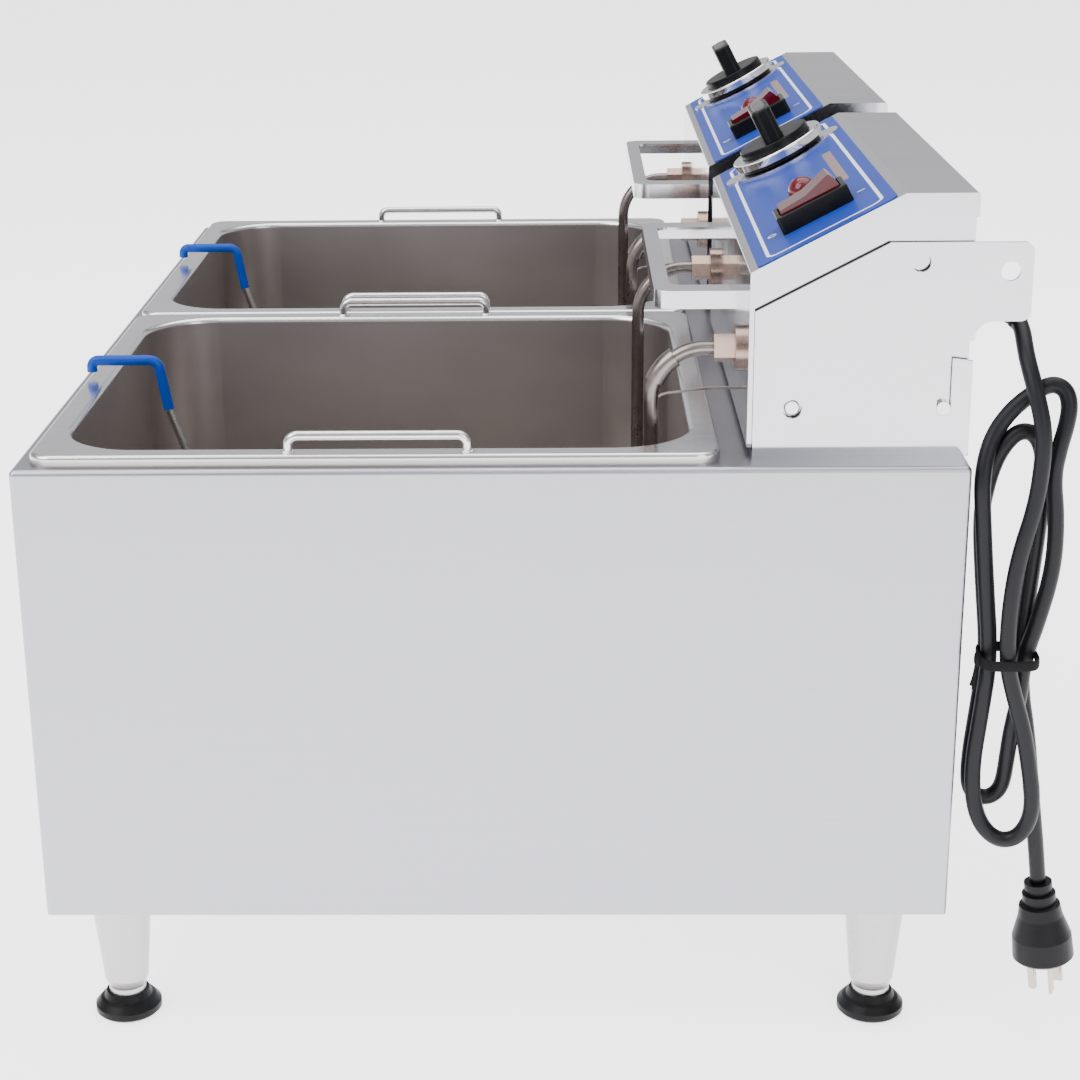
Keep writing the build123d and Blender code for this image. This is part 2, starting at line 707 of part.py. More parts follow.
def switch_housing(x):
    """Raised switch body with an open well for the rocker and bores for its axle."""
    body = extrude(RectangleRounded(SWITCH_W, SWITCH_L, 2.0), SWITCH_H - LABEL_T)
    body = fillet(body.faces().sort_by(Axis.Z)[-1].edges(), 1.2)
    under = extrude(Rectangle(SWITCH_W - 2 * SHEET, SWITCH_L - 2 * SHEET), -SWITCH_DEPTH)
    well_l = 2 * (ROCKER_R + ROCKER_GAP)
    well = extrude(Rectangle(ROCKER_W + 2 * ROCKER_GAP, well_l), SWITCH_H)
    reach = SWITCH_W / 2 - SHEET / 2
    bore = cross_pin(AXLE_R + AXLE_FIT, -reach, reach, 0, ROCKER_UP - LABEL_T)
    return panel(x + SWITCH_X, lift=LABEL_T) * (body + under - well - bore)


def rocker(x):
    """Rocker with a shallow V on top, resting with its rear end up, and its axle."""
    profile = Polyline(
        (-ROCKER_R, ROCKER_TOP),
        (0, ROCKER_DIP),
        (ROCKER_R, ROCKER_TOP),
        (ROCKER_R, -1.0),
        (ROCKER_R / 2, -ROCKER_KEEL),
        (-ROCKER_R / 2, -ROCKER_KEEL),
        (-ROCKER_R, -1.0),
        close=True,
    )
    face = Plane.YZ * (make_face(profile) & Circle(ROCKER_R))
    body = Pos(-ROCKER_W / 2, 0, 0) * extrude(face, ROCKER_W, dir=(1, 0, 0))
    reach = SWITCH_W / 2 - SHEET
    body += cross_pin(AXLE_R, -reach, reach, 0, 0)
    return panel(x + SWITCH_X, lift=ROCKER_UP) * Rot(ROCKER_TILT, 0, 0) * body


def pilot_light(x):
    """Domed lens on a short barrel through the panel."""
    height = PILOT_H - LABEL_T
    dome_r = (PILOT_R**2 + height**2) / (2 * height)
    lens = (Pos(0, 0, height - dome_r) * Sphere(dome_r)) & extrude(Circle(PILOT_R), PILOT_H)
    barrel = extrude(Circle(PILOT_R - SHEET), -PILOT_DEPTH)
    return panel(x + PILOT_X, lift=LABEL_T) * (lens + barrel)


def terminal_block(x):
    """Row of wire terminals on the head's floor."""
    block = extrude(Rectangle(TERMINAL_L, TERMINAL_W), TERMINAL_H)
    pitch = TERMINAL_L / TERMINAL_COUNT
    for i in range(TERMINAL_COUNT):
        place = Pos((i + 0.5) * pitch - TERMINAL_L / 2, 0, TERMINAL_H * 0.6)
        block -= place * extrude(Rectangle(pitch - SHEET, TERMINAL_W), TERMINAL_H)
        block += place * extrude(Circle(TERMINAL_SCREW_R), TERMINAL_H * 0.25)
    return Pos(x, (HEAD_FRONT + HEAD_REAR) / 2, HEAD_LOW + SHEET) * block


# ---------------------------------------------------------------- heater and its rod
def element_points(x):
    """Corners of the heating tube: out of the head, down, to and fro, and back up."""
    pitch = RISER_SPREAD / (ELEMENT_RUNS - 1)
    first, last = x - RISER_X, x + RISER_X
    inside = HEAD_FRONT + RISER_TAIL
    points = [(first, inside, RISER_Z), (first, RISER_Y, RISER_Z), (first, RISER_Y, ELEMENT_Z)]
    for i in range(ELEMENT_RUNS - 1):
        y = ELEMENT_Y1 if i % 2 == 0 else ELEMENT_Y2
        points.append((first + i * pitch, y, ELEMENT_Z))
        points.append((first + (i + 1) * pitch, y, ELEMENT_Z))
    points += [(last, RISER_Y, ELEMENT_Z), (last, RISER_Y, RISER_Z), (last, inside, RISER_Z)]
    return points


def element(x):
    """Tubular heating element in one piece."""
    turn = RISER_SPREAD / (ELEMENT_RUNS - 1) / 2 - FLAT
    turns = [turn] * (2 * ELEMENT_RUNS - 2)
    return rod(element_points(x), TUBE_R, [RISER_BEND_R, RISER_FOOT_R, *turns, RISER_FOOT_R, RISER_BEND_R])


def element_fittings(x):
    """Flanged hexagonal nut round each riser, against the head's front."""
    fittings = []
    for side in (-1, 1):
        place = Plane(origin=(x + side * RISER_X, HEAD_FRONT, RISER_Z), z_dir=(0, -1, 0))
        ring = extrude(Circle(RING_R) - Circle(TUBE_R), RING_T)
        flats = RegularPolygon(NUT_FLATS / sqrt(3), 6) - Circle(TUBE_R)
        fittings.append(place * (ring + extrude(flats, RING_T + NUT_L)))
    return Compound(fittings)


def sensor(x):
    """Temperature sensor: bulb in the pot, wire to the head, and a clip on the riser."""
    riser = x + RISER_X
    bulb_x = riser - BULB_SIDE
    top = DECK_Z - BULB_TOP
    bulb = Pos(bulb_x, RISER_Y, top - BULB_L) * extrude(Circle(BULB_R), BULB_L)
    bulb = fillet(bulb.faces().sort_by(Axis.Z)[0].edges(), BULB_R * 0.8)
    wire_points = (
        (bulb_x, RISER_Y, top),
        (bulb_x, RISER_Y, RISER_Z - RISER_BEND_R),
        (x + WIRE_X, HEAD_FRONT - RISER_OUT / 3, DECK_Z + WIRE_UP),
        (x + WIRE_X, HEAD_FRONT, DECK_Z + WIRE_UP),
    )
    wire = rod(wire_points, WIRE_R, WIRE_BEND_R)
    centre_y = RISER_Y + RISER_BEND_R
    centre_z = RISER_Z - RISER_BEND_R
    start = radians(CLIP_START)
    start_y = centre_y - RISER_BEND_R * sin(start)
    start_z = centre_z + RISER_BEND_R * cos(start)
    place = Plane(origin=(riser, start_y, start_z), z_dir=(0, -cos(start), -sin(start)))
    ring = place * (Circle(TUBE_R + CLIP_T) - Circle(TUBE_R))
    clip = revolve(ring, axis=Axis((riser, centre_y, centre_z), (1, 0, 0)), revolution_arc=CLIP_ARC)
    return Compound([bulb + wire, clip])


def rod_points(x):
    """Corners of the lifting rod: hook over the pot's front edge, then down to the element."""
    tip_y = POT_FRONT + GRIP_TIP_IN
    hook_y = WELL_FRONT + GRIP_HOOK
    return [
        (x, tip_y, POT_TOP + GRIP_GAP + GRIP_R),
        (x, tip_y, POT_TOP + GRIP_RISE),
        (x, hook_y, POT_TOP + GRIP_RISE),
        (x, hook_y + GRIP_LEAN, POT_TOP - GRIP_DROP),
        (x, ELEMENT_Y1, ELEMENT_Z),
    ]


def handle_rod(x, heater):
    """Steel rod that lifts the element, welded to its middle front bend."""
    points = rod_points(x)
    points[0] = (x, points[0][1], points[0][2] + GRIP_R - ROD_R)
    return rod(points, ROD_R, [*GRIP_BENDS, ROD_BEND_R]) - heater


def lift_grip(x, core):
    """Plastic sleeve on the rod's hooked end."""
    return rod(rod_points(x)[:4], GRIP_R, list(GRIP_BENDS)) - core


def hanger(x):
    """Basket rail on the head's front: a flat rim with its outside edge turned down."""
    block = extrude(RectangleRounded(HANGER_W, 2 * HANGER_D, HANGER_R), -HANGER_RIM)
    inner = RectangleRounded(HANGER_W - 2 * SHEET, 2 * HANGER_D - 2 * SHEET, HANGER_R - SHEET)
    block -= Pos(0, 0, -SHEET) * extrude(inner, -HANGER_RIM)
    window = RectangleRounded(HANGER_W - 2 * HANGER_ARM, 2 * (HANGER_D - HANGER_BAR), HANGER_R * 0.6)
    block -= Pos(0, 0, -HANGER_RIM) * extrude(window, 2 * HANGER_RIM)
    keep = Pos(0, -HANGER_D / 2, -HANGER_RIM) * extrude(Rectangle(HANGER_W, HANGER_D), 2 * HANGER_RIM)
    return Pos(x, HEAD_FRONT, DECK_Z + HANGER_UP) * (block & keep)


# ---------------------------------------------------------------- cord and plug
def cord(points, name):
    """Free cord through chosen points, each bend as large as its two runs allow."""
    runs = [Vector(*b) - Vector(*a) for a, b in zip(points, points[1:])]
    bends = []
    for before, after in zip(runs, runs[1:]):
        half_turn = radians(before.get_angle(after)) / 2
        bends.append(0.45 * min(before.length, after.length) / tan(half_turn))
    print(name, "bend radii", [round(r, 1) for r in bends])
    return rod(points, CORD_R, bends)


def cord_tie():
    """Band round the hank's waist."""
    near, far, height = TIE_PLACE
    size = Rectangle(HANK_T + 2 * TIE_T, far - near + 2 * TIE_T) - Rectangle(HANK_T, far - near)
    return Pos(HANK_X + HANK_T / 2, (near + far) / 2, height - TIE_H / 2) * extrude(size, TIE_H)


def plug_place():
    """Frame at the plug's cord end, its Z along the plug towards the blades."""
    lean = radians(PLUG_LEAN)
    place = Plane(origin=TAIL_POINTS[-1], x_dir=(1, 0, 0), z_dir=(0, sin(lean), -cos(lean)))
    return place * Rot(0, 0, PLUG_TURN)


def plug_body():
    """Moulded plug with a ringed strain relief, widening to its face."""
    section = (
        (0, 0),
        (7.5, 0),
        (7.5, 4.0),
        (6.5, 4.5),
        (6.5, 6.0),
        (9.0, 6.5),
        (9.0, 10.5),
        (8.0, 11.0),
        (8.0, 12.5),
        (11.0, 13.5),
        (12.0, 20.0),
        (16.0, 32.0),
        (16.5, PLUG_L - 1.5),
        (15.0, PLUG_L),
        (0, PLUG_L),
    )
    return plug_place() * turned(section)


def plug_blades():
    """One blade, one blade turned across it, and the round earth pin."""
    flat = Pos(-BLADE_SPREAD / 2, -BLADE_OUT, PLUG_L) * extrude(Rectangle(BLADE_T, BLADE_W), BLADE_L)
    across = Pos(BLADE_SPREAD / 2, -BLADE_OUT, PLUG_L) * extrude(Rectangle(BLADE_W, BLADE_T), BLADE_L)
    earth = Pos(0, EARTH_OUT, PLUG_L) * extrude(Circle(EARTH_R), EARTH_L)
    earth = fillet(earth.faces().sort_by(Axis.Z)[-1].edges(), EARTH_R * 0.7)
    return Compound([plug_place() * piece for piece in (flat, across, earth)])


# ---------------------------------------------------------------- all sub-parts
os.makedirs("parts", exist_ok=True)
save("body_shell", body_shell())
save("base_plate", base_plate())
save("legs", Compound([leg_place(sx, sy) * leg() for _, sx, sy in CORNERS]))
for corner, sx, sy in CORNERS:
    save(f"foot_{corner}", leg_place(sx, sy) * foot())
for side, pot_x in POTS:
    save(f"{side}_pot", pot(pot_x))
    save(f"{side}_pot_handles", pot_handles(pot_x))
save("bracket_screws", Compound([screw for _, x in HEADS for screw in foot_screws(x)]))
for side, head_x in HEADS:
    save(f"{side}_brackets", Compound([side_plate(head_x, -1), side_plate(head_x, 1)]))
    save(f"{side}_head_cover", head_cover(head_x))
    save(f"{side}_head_chassis", head_chassis(head_x))
    save(f"{side}_pivot_pins", pivot_pins(head_x))
    save(f"{side}_lock_plunger", lock_plunger(head_x))
    save(f"{side}_cord_gland", cord_gland(head_x))
    save(f"{side}_control_label", control_label(head_x))
    save(f"{side}_knob_plate", knob_plate(head_x))
    save(f"{side}_knob", knob(head_x))
    save(f"{side}_dial_ring", dial_ring(head_x))
    save(f"{side}_thermostat", thermostat(head_x))
    save(f"{side}_switch_housing", switch_housing(head_x))
    save(f"{side}_rocker", rocker(head_x))
    save(f"{side}_pilot_light", pilot_light(head_x))
    save(f"{side}_terminal_block", terminal_block(head_x))
    heater = element(head_x)
    core = handle_rod(head_x, heater)
    save(f"{side}_element", heater)
    save(f"{side}_element_fittings", element_fittings(head_x))
    save(f"{side}_sensor", sensor(head_x))
    save(f"{side}_handle_rod", core)
    save(f"{side}_lift_grip", lift_grip(head_x, core))
    save(f"{side}_hanger", hanger(head_x))
save("cord_lead", cord(LEAD_POINTS, "lead"))
save("cord_hank", slab(HANK_OUTLINE, HANK_X, HANK_X + HANK_T))
save("cord_tie", cord_tie())
save("cord_tail", cord(TAIL_POINTS, "tail"))
save("plug_body", plug_body())
save("plug_blades", plug_blades())
print("head pivot, mm:", round(PIVOT_Y, 2), round(PIVOT_Z, 2))
print("panel slope, degrees:", round(degrees(SLOPE), 2))
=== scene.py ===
import json
import math

import bmesh
import bpy
import numpy as np
from mathutils import Matrix, Vector


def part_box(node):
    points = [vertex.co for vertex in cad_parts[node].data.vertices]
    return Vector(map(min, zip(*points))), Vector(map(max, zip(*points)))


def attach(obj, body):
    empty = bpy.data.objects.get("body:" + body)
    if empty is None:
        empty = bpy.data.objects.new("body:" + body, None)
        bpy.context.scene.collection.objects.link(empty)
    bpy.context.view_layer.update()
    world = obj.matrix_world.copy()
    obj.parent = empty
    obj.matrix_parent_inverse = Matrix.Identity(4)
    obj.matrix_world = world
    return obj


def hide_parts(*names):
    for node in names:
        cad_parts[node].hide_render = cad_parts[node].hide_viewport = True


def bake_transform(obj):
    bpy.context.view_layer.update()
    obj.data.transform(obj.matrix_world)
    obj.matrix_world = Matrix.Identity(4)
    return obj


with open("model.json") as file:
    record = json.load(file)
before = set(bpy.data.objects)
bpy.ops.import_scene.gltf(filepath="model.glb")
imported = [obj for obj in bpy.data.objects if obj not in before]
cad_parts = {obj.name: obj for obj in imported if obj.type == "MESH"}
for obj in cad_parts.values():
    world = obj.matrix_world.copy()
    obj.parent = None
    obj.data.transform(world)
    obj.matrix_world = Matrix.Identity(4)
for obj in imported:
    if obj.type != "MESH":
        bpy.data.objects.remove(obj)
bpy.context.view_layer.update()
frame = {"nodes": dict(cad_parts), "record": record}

# Metres, in the fryer's own frame: +Z is up, the front faces -Y, and the cord is at +X.
MM = 0.001
HEADS = (("right", 0.165), ("left", -0.165))

# ---------------------------------------------------------------- camera
CAMERA_PLACE = (1.40638, 0.0231867, 0.653936)
CAMERA_YAW = -0.0216961706
CAMERA_PITCH = 0.334710174
CAMERA_ROLL = -0.0109383345
CAMERA_LENS = 74.106
CAMERA_SHIFT = (0.02182, 0.01911)

# ---------------------------------------------------------------- sloping panel
LABEL_LOW, LABEL_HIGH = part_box("right_control_label")
PANEL_MIDDLE = (LABEL_LOW + LABEL_HIGH) / 2
SLOPE = math.atan2(39.5, 76.0)
UP_SLOPE = np.array((0.0, math.cos(SLOPE), math.sin(SLOPE)))
OUT_OF_SLOPE = np.array((0.0, -math.sin(SLOPE), math.cos(SLOPE)))
KNOB_X = -0.095               # from the head's middle
SWITCH_X = 0.0905
KNOB_TOP = 0.0345             # grip's top over the panel

# ---------------------------------------------------------------- pots
POT_TOP = 0.335
POT_MIDDLE_Y = -0.073
POT_MIDDLE_X = 0.1635
BAIL_X = 0.1555               # bail to its pot's middle
BAIL_HALF = 0.04585           # foot to the bail's middle
BAIL_MIDDLE_Y = POT_MIDDLE_Y + 0.0023

# ---------------------------------------------------------------- cord
CORD_D = 0.0086
CORD_STEPS = 12               # points along the line for each chosen point
CORD_SIDES = 20
BOOT_L = 0.026                # strain relief
BOOT_R = 0.0059               # at the gland
BOOT_TAPER = 0.0011           # what the radius loses by the boot's end
BOOT_RIB = 0.00055
BOOT_RIBS = 6
TIE_MIDDLE = (0.3264, 0.2545, 0.2245)
TIE_HALF = (0.0146, 0.0149, 0.0029)
TIE_SWELL = 0.0006            # half of the band's thickness
KNOT_MIDDLE = (0.3300, 0.2386, 0.2245)
KNOT_HALF = (0.0036, 0.0020, 0.0040)

# Chosen points of the cord, in millimetres: out of the gland, through the hank, down to the plug.
CORD_LEAD = (
    (277.0, 239.0, 399.0),
    (277.0, 246.0, 399.0),
    (280.5, 252.5, 397.5),
    (287.5, 256.5, 394.5),
    (296.5, 257.5, 391.0),
    (306.0, 257.0, 386.5),
    (315.0, 257.0, 380.5),
    (323.0, 258.5, 372.5),
    (329.0, 261.0, 362.0),
    (333.0, 263.5, 350.0),
)
CORD_FRONT_LOOP = (
    (334.5, 264.3, 336.7),
    (335.2, 262.2, 310.0),
    (335.2, 255.3, 283.3),
    (335.2, 252.3, 255.6),
    (335.2, 252.5, 224.5),
    (335.2, 258.0, 204.0),
    (335.0, 264.0, 185.0),
    (335.0, 268.0, 165.0),
    (334.6, 271.0, 148.0),
    (333.8, 270.5, 134.0),
    (332.6, 265.5, 124.0),
    (331.0, 257.5, 120.5),
    (329.5, 249.5, 124.5),
    (328.2, 243.5, 134.0),
    (327.0, 240.5, 148.0),
    (326.5, 240.0, 166.0),
    (326.4, 242.5, 190.0),
)
CORD_MIDDLE_LOOP = (
    (326.4, 245.6, 224.5),
    (326.4, 241.0, 265.0),
    (326.4, 237.0, 306.0),
    (326.0, 236.0, 320.0),
    (321.5, 238.5, 334.0),
    (318.0, 243.0, 344.0),
    (317.6, 249.0, 353.0),
    (317.6, 256.0, 360.0),
    (317.6, 263.5, 365.5),
    (318.5, 270.5, 368.5),
    (320.5, 276.3, 365.8),
    (322.8, 278.3, 358.5),
    (325.0, 277.0, 349.5),
    (326.2, 274.0, 338.0),
    (326.4, 271.5, 322.0),
    (326.4, 275.0, 299.0),
    (326.4, 275.0, 272.0),
    (326.4, 269.0, 244.0),
)
CORD_REAR_LOOP = (
    (326.4, 263.4, 224.5),
    (326.2, 262.0, 200.0),
    (324.5, 259.5, 182.0),
    (321.5, 258.8, 165.0),
    (318.8, 258.5, 152.0),
    (317.6, 256.8, 144.5),
    (317.6, 252.0, 140.2),
    (317.6, 246.0, 140.2),
    (317.6, 241.3, 144.5),
    (317.6, 239.6, 152.0),
    (317.6, 239.8, 166.0),
    (317.6, 241.5, 184.0),
    (317.6, 243.5, 204.0),
    (317.6, 245.6, 224.5),
    (317.6, 241.0, 265.0),
    (317.6, 238.0, 298.0),
    (317.6, 240.0, 314.0),
    (317.6, 243.5, 328.0),
    (317.6, 248.5, 337.5),
    (317.6, 254.5, 343.5),
    (317.6, 261.5, 343.2),
    (317.6, 266.5, 336.5),
    (317.6, 268.5, 324.0),
    (317.6, 268.5, 300.0),
    (317.6, 265.0, 254.0),
)
CORD_TAIL = (
    (317.6, 263.4, 224.5),
    (318.0, 265.0, 200.0),
    (319.7, 268.2, 183.0),
    (323.0, 270.5, 164.0),
    (325.0, 271.5, 152.0),
    (324.0, 274.5, 132.0),
    (323.0, 277.5, 112.0),
    (322.0, 280.0, 92.0),
)
CORD_POINTS = CORD_LEAD + CORD_FRONT_LOOP + CORD_MIDDLE_LOOP + CORD_REAR_LOOP + CORD_TAIL


# ---------------------------------------------------------------- shader graphs
class Value:
    """A number that changes over a surface. Arithmetic on it adds the graph's Math nodes."""

    def __init__(self, graph, socket):
        self.graph = graph
        self.socket = socket

    def math(self, operation, *values):
        return self.graph.node("ShaderNodeMath", {"operation": operation}, dict(enumerate(values)))

    def __add__(self, other):
        return self.math("ADD", self, other)

    __radd__ = __add__

    def __sub__(self, other):
        return self.math("SUBTRACT", self, other)

    def __rsub__(self, other):
        return self.math("SUBTRACT", other, self)

    def __mul__(self, other):
        return self.math("MULTIPLY", self, other)

    __rmul__ = __mul__

    def __pow__(self, other):
        return self.math("POWER", self, other)

    def __abs__(self):
        return self.math("ABSOLUTE", self)

    def high(self, other):
        return self.math("MAXIMUM", self, other)

    def low(self, other):
        return self.math("MINIMUM", self, other)

    def step(self, start, end):
        """0 before start, 1 after end, and smooth between."""
        return self.graph.node(
            "ShaderNodeMapRange",
            {"interpolation_type": "SMOOTHSTEP"},
            {"Value": self, "From Min": start, "From Max": end},
        )


class Graph:
    """A material and its nodes."""

    def __init__(self, name):
        self.material = bpy.data.materials.new(name)
        self.material.use_nodes = True
        self.tree = self.material.node_tree
        self.shader = self.tree.nodes["Principled BSDF"]

    def feed(self, socket, value):
        if isinstance(value, Value):
            self.tree.links.new(value.socket, socket)
        else:
            socket.default_value = value

    def node(self, kind, settings=None, inputs=None, output=0):
        """A node of that kind, with its settings made first and then its sockets fed."""
        made = self.tree.nodes.new(kind)
        for name, value in (settings or {}).items():
            setattr(made, name, value)
        for name, value in (inputs or {}).items():
            self.feed(made.inputs[name], value)
        return Value(self, made.outputs[output])

    def place(self):
        """X, Y and Z of the surface in the fryer's frame."""
        point = self.node("ShaderNodeTexCoord", output="Object")
        return [self.node("ShaderNodeSeparateXYZ", None, {0: point}, axis) for axis in "XYZ"]

    def facing(self, axis):
        """How far the surface looks along an axis, from 0 to 1."""
        normal = self.node("ShaderNodeTexCoord", output="Normal")
        return abs(self.node("ShaderNodeSeparateXYZ", None, {0: normal}, axis))

    def noise(self, scale, detail=2.0):
        """Noise from 0 to 1, with its own scale along each axis."""
        point = self.node("ShaderNodeTexCoord", output="Object")
        spread = self.node("ShaderNodeVectorMath", {"operation": "MULTIPLY"}, {0: point, 1: scale})
        return self.node("ShaderNodeTexNoise", None, {"Vector": spread, "Scale": 1.0, "Detail": detail})

    def mix(self, mask, first, second):
        """First colour where mask is 0, second where it is 1."""
        sockets = {0: mask, 6: solid(first), 7: solid(second)}
        return self.node("ShaderNodeMix", {"data_type": "RGBA"}, sockets, 2)

    def bump(self, height, distance):
        sockets = {"Height": height, "Distance": distance, "Strength": 1.0}
        return self.node("ShaderNodeBump", None, sockets)

    def done(self, **sockets):
        for name, value in sockets.items():
            self.feed(self.shader.inputs[name.replace("_", " ")], value)
        return self.material


def solid(colour):
    """Colour with its alpha, or a Value as it is."""
    return colour if isinstance(colour, Value) else (*colour, 1.0)


def tinted(colour, share):
    """Colour with each of its parts multiplied by a share."""
    return tuple(share * part for part in colour)


# ---------------------------------------------------------------- finishes
def brushed(name, colour, roughness, depth):
    """Sheet steel rubbed one way: lines along Y, or along X on faces that look along Y."""
    g = Graph(name)
    ends = g.facing("Y").step(0.4, 0.6)
    along_y = g.noise((700.0, 5.0, 900.0), 3.0)
    along_x = g.noise((5.0, 700.0, 900.0), 3.0)
    lines = along_y * (1 - ends) + along_x * ends
    cloud = g.noise((4.0, 4.0, 4.0), 2.0)
    shade = g.mix(lines * 0.6 + cloud * 0.4, tinted(colour, 0.88), tinted(colour, 1.08))
    rough = roughness - 0.08 + lines * 0.12 + cloud * 0.06
    return g.done(Base_Color=shade, Roughness=rough, Metallic=1.0, Normal=g.bump(lines, depth))


def polished(name, colour, roughness):
    """Mirror steel with faint wiping marks and slight waviness of the sheet."""
    g = Graph(name)
    wipes = g.noise((60.0, 9.0, 22.0), 4.0)
    fine = g.noise((300.0, 40.0, 300.0), 3.0)
    waves = g.noise((9.0, 9.0, 9.0), 1.0)
    shade = g.mix(wipes, tinted(colour, 0.94), tinted(colour, 1.04))
    rough = roughness + wipes.step(0.45, 0.75) * 0.08 + fine * 0.04
    return g.done(Base_Color=shade, Roughness=rough, Metallic=1.0, Normal=g.bump(waves, 0.0006))


def pot_steel():
    """Drawn pan: satin and warm inside, darkened towards the bottom with painted shade, and with a smoother flange
    painted lighter as a painted highlight round the opening.
    """
    g = Graph("pot_steel")
    height = g.place()[2]
    flange = height.step(POT_TOP - 0.0035, POT_TOP - 0.0012)
    # Painted shade mask: 0 at the rim, rising to 1 at 15 cm down the pot's inside.
    depth = 1 - height.step(POT_TOP - 0.15, POT_TOP)
    lines = g.noise((500.0, 6.0, 12.0), 3.0)
    cloud = g.noise((7.0, 7.0, 16.0), 3.0)
    # The wall's colours are kept dark partly as painted shade from the pot's own walls.
    wall = g.mix(cloud * 0.5 + lines * 0.5, (0.40, 0.365, 0.355), (0.56, 0.52, 0.505))
    # Painted shade: the wall is darkened towards (0.34, 0.31, 0.30) down the inside.
    wall = g.mix(depth * 0.35, wall, (0.34, 0.31, 0.30))
    # Painted highlight: the flange is painted near white for the light on its rolled lip; its lower roughness is its
    # real smoother finish.
    shade = g.mix(flange, wall, (0.76, 0.76, 0.78))
    rough = (0.30 + cloud * 0.12) * (1 - flange) + (0.15 + lines * 0.10) * flange
    return g.done(Base_Color=shade, Roughness=rough, Metallic=1.0, Normal=g.bump(lines, 0.00004))


def plain_metal(name, colour, roughness, mottle):
    """Small turned or drawn metal piece, mottled by handling and heat."""
    g = Graph(name)
    spots = g.noise((130.0, 130.0, 130.0), 4.0)
    shade = g.mix(spots, tinted(colour, 1 - mottle), tinted(colour, 1 + mottle * 0.5))
    rough = roughness + spots * 0.14
    return g.done(Base_Color=shade, Roughness=rough, Metallic=1.0, Normal=g.bump(spots, 0.00005))


def moulded(name, colour, roughness, grain, coat=0.0):
    """Moulded plastic or rubber with a fine grain and faint scuffs."""
    g = Graph(name)
    pores = g.noise((1400.0, 1400.0, 1400.0), 2.0)
    scuffs = g.noise((90.0, 90.0, 90.0), 4.0).step(0.5, 0.8)
    shade = g.mix(scuffs * 0.5, colour, tuple(part * 1.3 + 0.001 for part in colour))
    rough = roughness + scuffs * 0.12 + pores * 0.05
    bump = g.bump(pores, grain)
    return g.done(Base_Color=shade, Roughness=rough, Coat_Weight=coat, Specular_IOR_Level=0.18, Normal=bump)


def chrome_ring(head_x):
    """Bright ring round the knob, with dark graduations on its face."""
    g = Graph("chrome_ring_at_" + ("right" if head_x > 0 else "left"))
    u, v = panel_sockets(g, head_x + KNOB_X)
    radius = (u * u + v * v) ** 0.5
    angle = u.math("ARCTAN2", v, u)
    off_tick = angle.math("PINGPONG", angle, math.pi / 24) * radius
    face = radius.step(23.4, 23.6) * (1 - radius.step(25.6, 25.8))
    ticks = (1 - off_tick.step(0.22, 0.42)) * face
    marks = g.noise((220.0, 220.0, 220.0), 3.0)
    shade = g.mix(ticks, (0.86, 0.86, 0.88), (0.03, 0.03, 0.035))
    rough = 0.05 + marks * 0.07 + ticks * 0.3
    return g.done(Base_Color=shade, Roughness=rough, Metallic=1 - ticks)


def panel_sockets(g, middle_x):
    """Millimetres across and up the slope from a place on the panel's middle line."""
    x, y, z = g.place()
    across = (x - middle_x) * 1000
    up = (y - PANEL_MIDDLE.y) * (1000 * math.cos(SLOPE)) + (z - PANEL_MIDDLE.z) * (1000 * math.sin(SLOPE))
    return across, up


def rounded_box(u, v, half_u, half_v, corner):
    """Signed distance to a rounded rectangle: how far past its straight sides, or from its corner's arc."""
    past_u = abs(u) - (half_u - corner)
    past_v = abs(v) - (half_v - corner)
    outside = (past_u.high(0) ** 2 + past_v.high(0) ** 2) ** 0.5
    return outside + past_u.high(past_v).low(0) - corner


def line_mask(distance, half_width):
    """1 where the distance is under half a line's width, and 0 from a quarter of a millimetre past it."""
    return 1 - abs(distance).step(half_width, half_width + 0.25)


def label_print(head_x):
    """Blue foil with a white border line, a beige strip and the switch's marks."""
    g = Graph("label_print_at_" + ("right" if head_x > 0 else "left"))
    u, v = panel_sockets(g, head_x)
    border = line_mask(rounded_box(u, v, 134.0, 31.5, 6.0), 0.8)
    strip = 1 - rounded_box(u - 2.0, v - 22.0, 46.0, 2.6, 1.0).step(-0.2, 0.2)
    switch_u = u - SWITCH_X * 1000
    on_mark = 1 - rounded_box(switch_u, v - 25.5, 0.55, 2.2, 0.3).step(-0.15, 0.15)
    off_radius = (switch_u ** 2 + (v + 25.5) ** 2) ** 0.5
    off_mark = line_mask(off_radius - 2.0, 0.35)
    white = border.high(on_mark).high(off_mark)
    weave = g.noise((500.0, 500.0, 500.0), 3.0)
    blue = g.mix(weave, (0.008, 0.035, 0.26), (0.014, 0.055, 0.36))
    shade = g.mix(white, g.mix(strip, blue, (0.24, 0.18, 0.17)), (0.82, 0.85, 0.92))
    rough = 0.34 + weave * 0.10
    bump = g.bump(white, 0.00005)
    return g.done(Base_Color=shade, Roughness=rough, Specular_IOR_Level=0.25, Normal=bump)


def cord_jacket():
    """Black jacket with a soft sheen and a faint lay of the cores under it."""
    g = Graph("cord_jacket")
    pores = g.noise((1200.0, 1200.0, 1200.0), 2.0)
    lay = g.noise((70.0, 70.0, 18.0), 2.0)
    shade = g.mix(lay, (0.0025, 0.0025, 0.0035), (0.007, 0.007, 0.010))
    rough = 0.34 + lay * 0.16
    bump = g.bump(pores * 0.3 + lay, 0.00012)
    return g.done(Base_Color=shade, Roughness=rough, Specular_IOR_Level=0.22, Normal=bump)


# ---------------------------------------------------------------- meshes
def grid_faces(rows, columns, wrap_rows, start):
    """Quads between neighbours of a grid whose columns close on themselves."""
    row, column = np.meshgrid(np.arange(rows if wrap_rows else rows - 1), np.arange(columns), indexing="ij")
    next_row = (row + 1) % rows
    next_column = (column + 1) % columns
    corners = (row * columns + column, row * columns + next_column,
               next_row * columns + next_column, next_row * columns + column)
    return start + np.stack(corners, -1).reshape(-1, 4)


